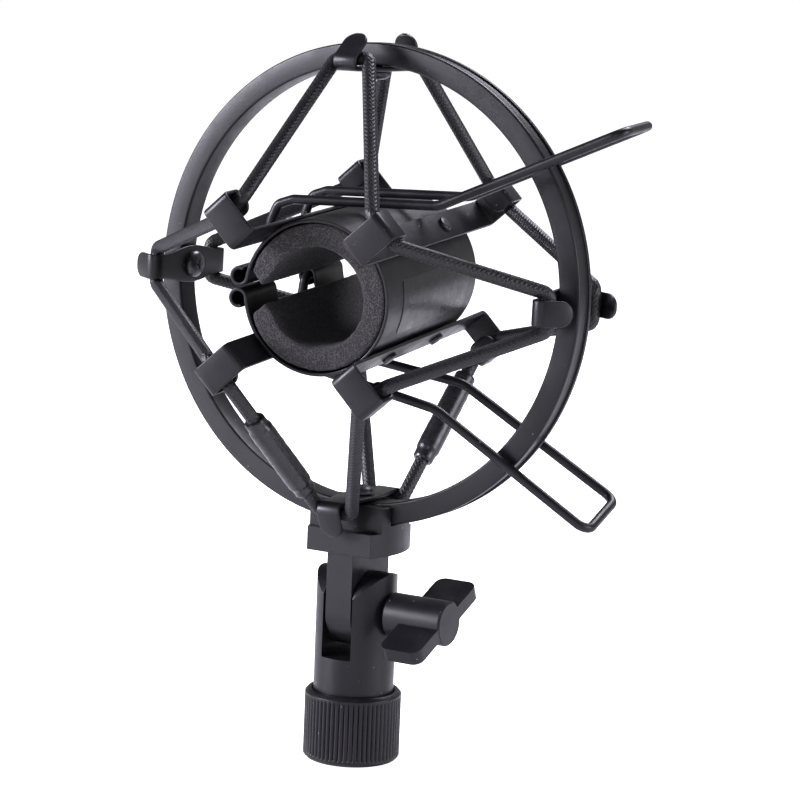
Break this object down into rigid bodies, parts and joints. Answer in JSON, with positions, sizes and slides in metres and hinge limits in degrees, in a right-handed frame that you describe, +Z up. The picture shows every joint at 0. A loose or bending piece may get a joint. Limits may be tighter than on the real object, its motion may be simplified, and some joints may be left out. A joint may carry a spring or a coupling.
{
  "type": "microphone shock mount",
  "caption": "Spider shock mount for a studio microphone: a foam-lined spring sleeve hangs on elastic cords inside a ring, on a tilting, swivelling stand fitting.",
  "frame": {"origin": "centre of the stand thread's mouth, at the bottom face of the collar", "axes": "+Z up along the stand tube, +X to the side of the wing knob, +Y along the suspension ring's axis, away from the front"},
  "size_m": [0.1344, 0.0933, 0.1826],
  "materials": {
    "black_metal": "satin black powder coat",
    "black_fastener": "black oxide, slightly glossy",
    "foam": "open-cell dark grey foam",
    "braided_elastic": "black braided sheath",
    "shrink_tube": "semi-gloss black heat-shrink tube"
  },
  "bodies": {
    "stand_collar": {"knurled_collar": "black_metal"},
    "fork": {"fork_tube": "black_metal", "swivel_washer": "black_fastener", "swivel_screw": "black_fastener"},
    "thumbscrew": {"wing_knob": "black_metal", "clamp_bolt": "black_fastener"},
    "head": {"tilt_block": "black_metal", "suspension_ring": "black_metal", "ring_hook_top": "black_metal", "ring_hook_right": "black_metal", "ring_hook_bottom": "black_metal", "ring_hook_left": "black_metal", "hook_screw_top": "black_fastener", "hook_screw_right": "black_fastener", "hook_screw_bottom": "black_fastener", "hook_screw_left": "black_fastener", "front_cord": "braided_elastic", "rear_cord": "braided_elastic", "front_cord_sleeve": "shrink_tube", "rear_cord_sleeve": "shrink_tube"},
    "upper_jaw": {"upper_sleeve_half": "black_metal", "upper_foam_pad": "foam", "clip_bar_upper_left": "black_metal", "clip_bar_upper_right": "black_metal", "clip_rivet_upper_left_front": "black_fastener", "clip_rivet_upper_left_rear": "black_fastener", "clip_rivet_upper_right_front": "black_fastener", "clip_rivet_upper_right_rear": "black_fastener"},
    "lower_jaw": {"lower_sleeve_half": "black_metal", "lower_foam_pad": "foam", "clip_bar_lower_right": "black_metal", "clip_bar_lower_left": "black_metal", "clip_rivet_lower_right_front": "black_fastener", "clip_rivet_lower_right_rear": "black_fastener", "clip_rivet_lower_left_front": "black_fastener", "clip_rivet_lower_left_rear": "black_fastener"},
    "upper_handle": {"upper_handle": "black_metal"},
    "lower_handle": {"lower_handle": "black_metal"}
  },
  "joints": [
    {"name": "stand_swivel", "type": "hinge", "parent": "stand_collar", "child": "fork", "pos_m": [0, 0, 0.0145], "axis": [0, 0, 1], "continuous": true},
    {"name": "thumbscrew_turn", "type": "hinge", "parent": "fork", "child": "thumbscrew", "pos_m": [0.0105, 0, 0.0379], "axis": [1, 0, 0], "range_deg": [0, 360]},
    {"name": "head_tilt", "type": "hinge", "parent": "fork", "child": "head", "pos_m": [0, 0, 0.0379], "axis": [1, 0, 0], "range_deg": [-90, 90]},
    {"name": "upper_jaw_flex", "type": "hinge", "parent": "head", "child": "upper_jaw", "pos_m": [0.01848, -0.00055, 0.1198], "axis": [-0.1286, 0.9901, 0.0558], "range_deg": [0, 8], "stiffness_Nm_per_rad": 2.5, "deforming": ["front_cord", "rear_cord"]},
    {"name": "lower_jaw_flex", "type": "hinge", "parent": "head", "child": "lower_jaw", "pos_m": [0.01848, -0.00055, 0.1198], "axis": [-0.1286, 0.9901, 0.0558], "range_deg": [-8, 0], "stiffness_Nm_per_rad": 2.5, "deforming": ["front_cord_sleeve", "rear_cord_sleeve"]},
    {"name": "upper_handle_pivot", "type": "hinge", "parent": "upper_jaw", "child": "upper_handle", "pos_m": [-0.01994, -0.00582, 0.12479], "axis": [-0.1286, 0.9901, 0.0558], "range_deg": [-12, 0]},
    {"name": "lower_handle_pivot", "type": "hinge", "parent": "lower_jaw", "child": "lower_handle", "pos_m": [-0.02029, -0.00556, 0.11943], "axis": [-0.1286, 0.9901, 0.0558], "range_deg": [0, 12]}
  ],
  "couplings": [
    {"joint": "lower_jaw_flex", "follows": "upper_jaw_flex", "ratio": -1}
  ]
}
